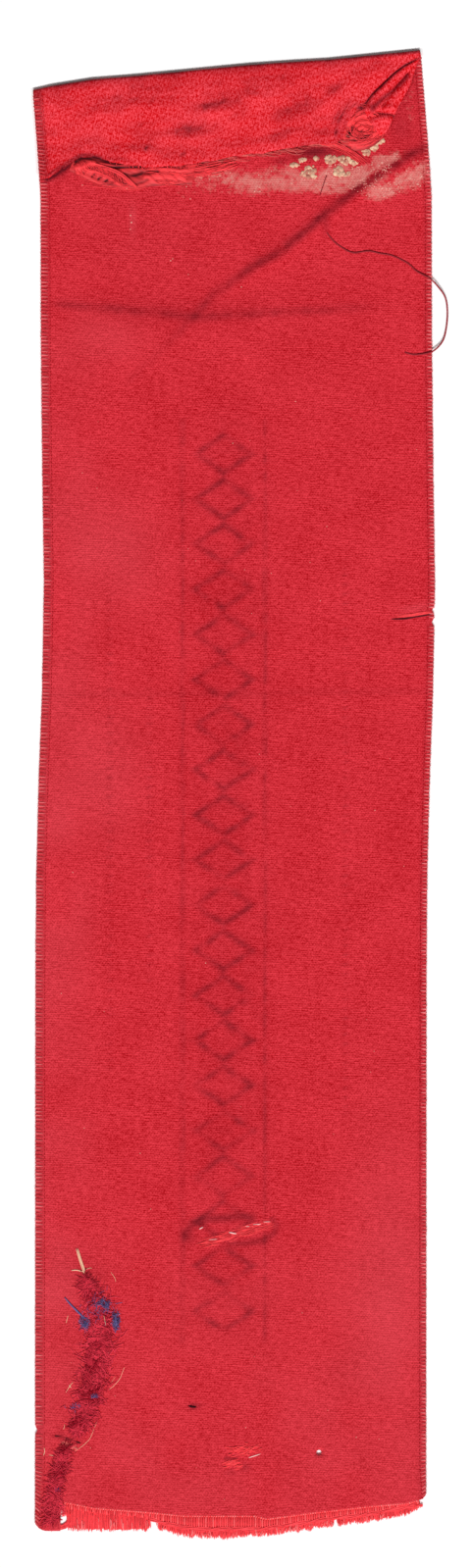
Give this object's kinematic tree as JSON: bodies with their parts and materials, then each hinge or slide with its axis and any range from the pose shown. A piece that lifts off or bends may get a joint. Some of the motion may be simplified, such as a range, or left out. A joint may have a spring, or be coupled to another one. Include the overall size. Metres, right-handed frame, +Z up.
{
  "type": "award ribbon",
  "caption": "Old woven satin award ribbon lying flat: a folded, glued heading with a torn corner at the top, corded edges, and a curved fringed cut at the bottom.",
  "frame": {"origin": "centre of the box that the ribbon fills in plan, on the face that it lies on", "axes": "+Y runs up the ribbon to its folded heading, +X runs across it to the right, +Z points up from the surface that it lies on"},
  "size_m": [0.0539, 0.1927, 0.0014],
  "materials": {
    "ribbon_back": "matte",
    "satin_face": "satin",
    "selvedge": "matte",
    "floss": "satin",
    "sewing_thread": "matte",
    "felt": "matte",
    "lint": "matte",
    "straw": "matte",
    "old_glue": "matte",
    "glue_flake": "matte"
  },
  "bodies": {
    "upper": {"upper_panel": "ribbon_back", "upper_left_selvedge": "selvedge", "upper_right_selvedge": "selvedge", "pulled_weft": "floss", "heading_fold": "satin_face", "heading_flap": "satin_face", "heading_selvedge": "selvedge", "left_torn_floss": "floss", "right_torn_floss": "floss", "glue_film": "old_glue", "glue_flakes": "glue_flake", "loose_thread": "sewing_thread"},
    "corner": {"torn_corner": "satin_face"},
    "lower": {"lower_panel": "ribbon_back", "lower_left_selvedge": "selvedge", "lower_right_selvedge": "selvedge", "hem_band": "floss", "weft_cord": "floss", "warp_fringe": "floss", "felt_scrap": "felt", "blue_lint": "lint", "straw_fibres": "straw", "upper_snag": "floss", "lower_snag": "floss"}
  },
  "joints": [
    {"name": "middle_crease_fold", "type": "hinge", "parent": "upper", "child": "lower", "pos_m": [0, 0.0131, 0.00045], "axis": [-1, 0, 0], "range_deg": [0, 170]},
    {"name": "torn_corner_lift", "type": "hinge", "parent": "upper", "child": "corner", "pos_m": [0.01645, 0.08862, 0.0008], "axis": [-0.7448, -0.6673, 0], "range_deg": [0, 60]}
  ]
}
